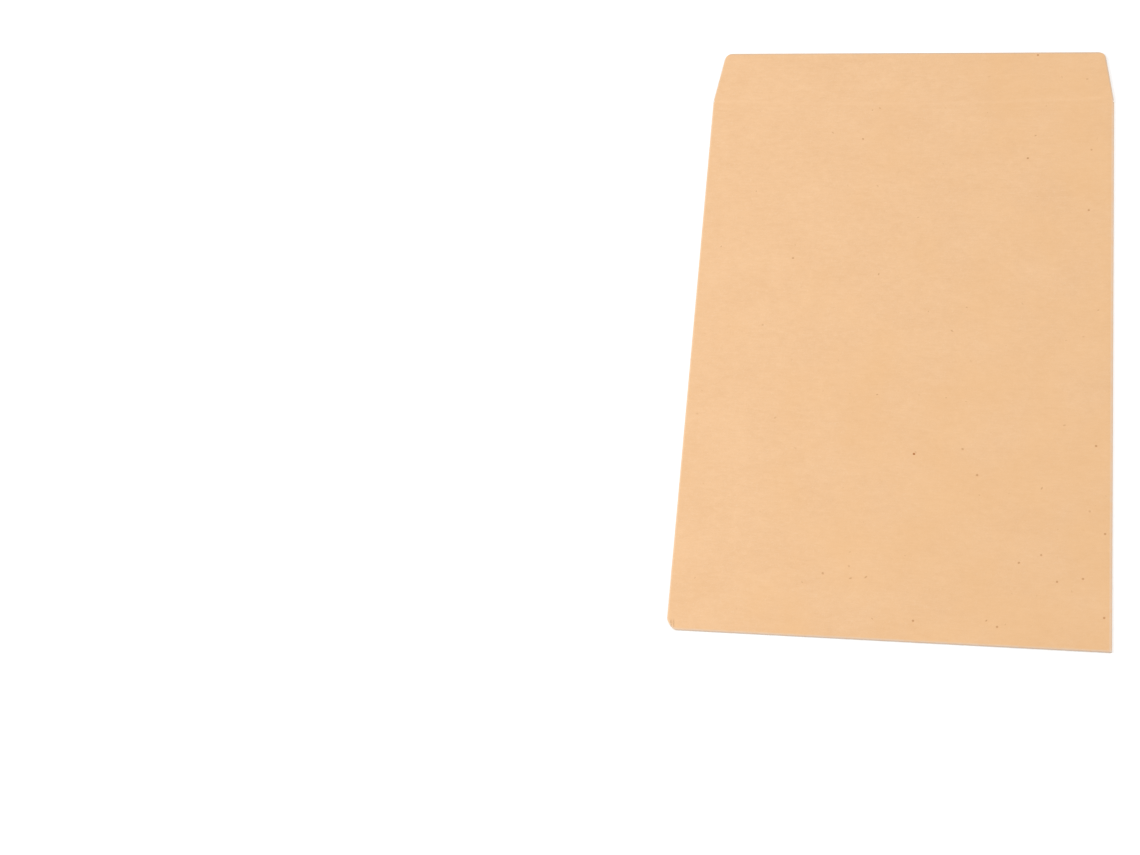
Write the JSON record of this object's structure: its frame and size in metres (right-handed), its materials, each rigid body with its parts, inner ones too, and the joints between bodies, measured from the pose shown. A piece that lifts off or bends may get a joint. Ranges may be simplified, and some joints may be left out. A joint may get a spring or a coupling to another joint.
{
  "type": "paper envelope",
  "caption": "Flat kraft paper pocket envelope with side folds, a glued centre seam on the back, a glued bottom flap and a short tapered closing flap left open.",
  "frame": {"origin": "centre of the footprint, open flap included, on the plane that the back lies on", "axes": "+Y from the bottom fold to the open closing flap, +Z out of the front face, +X to the right seen from the front with the flap up"},
  "size_m": [0.114, 0.178, 0.0006],
  "materials": {
    "kraft_paper": "matt, lightly machine-glazed kraft with faint cross fibres and sparse dark specks"
  },
  "bodies": {
    "root": {"envelope": "kraft_paper"}
  },
  "joints": []
}
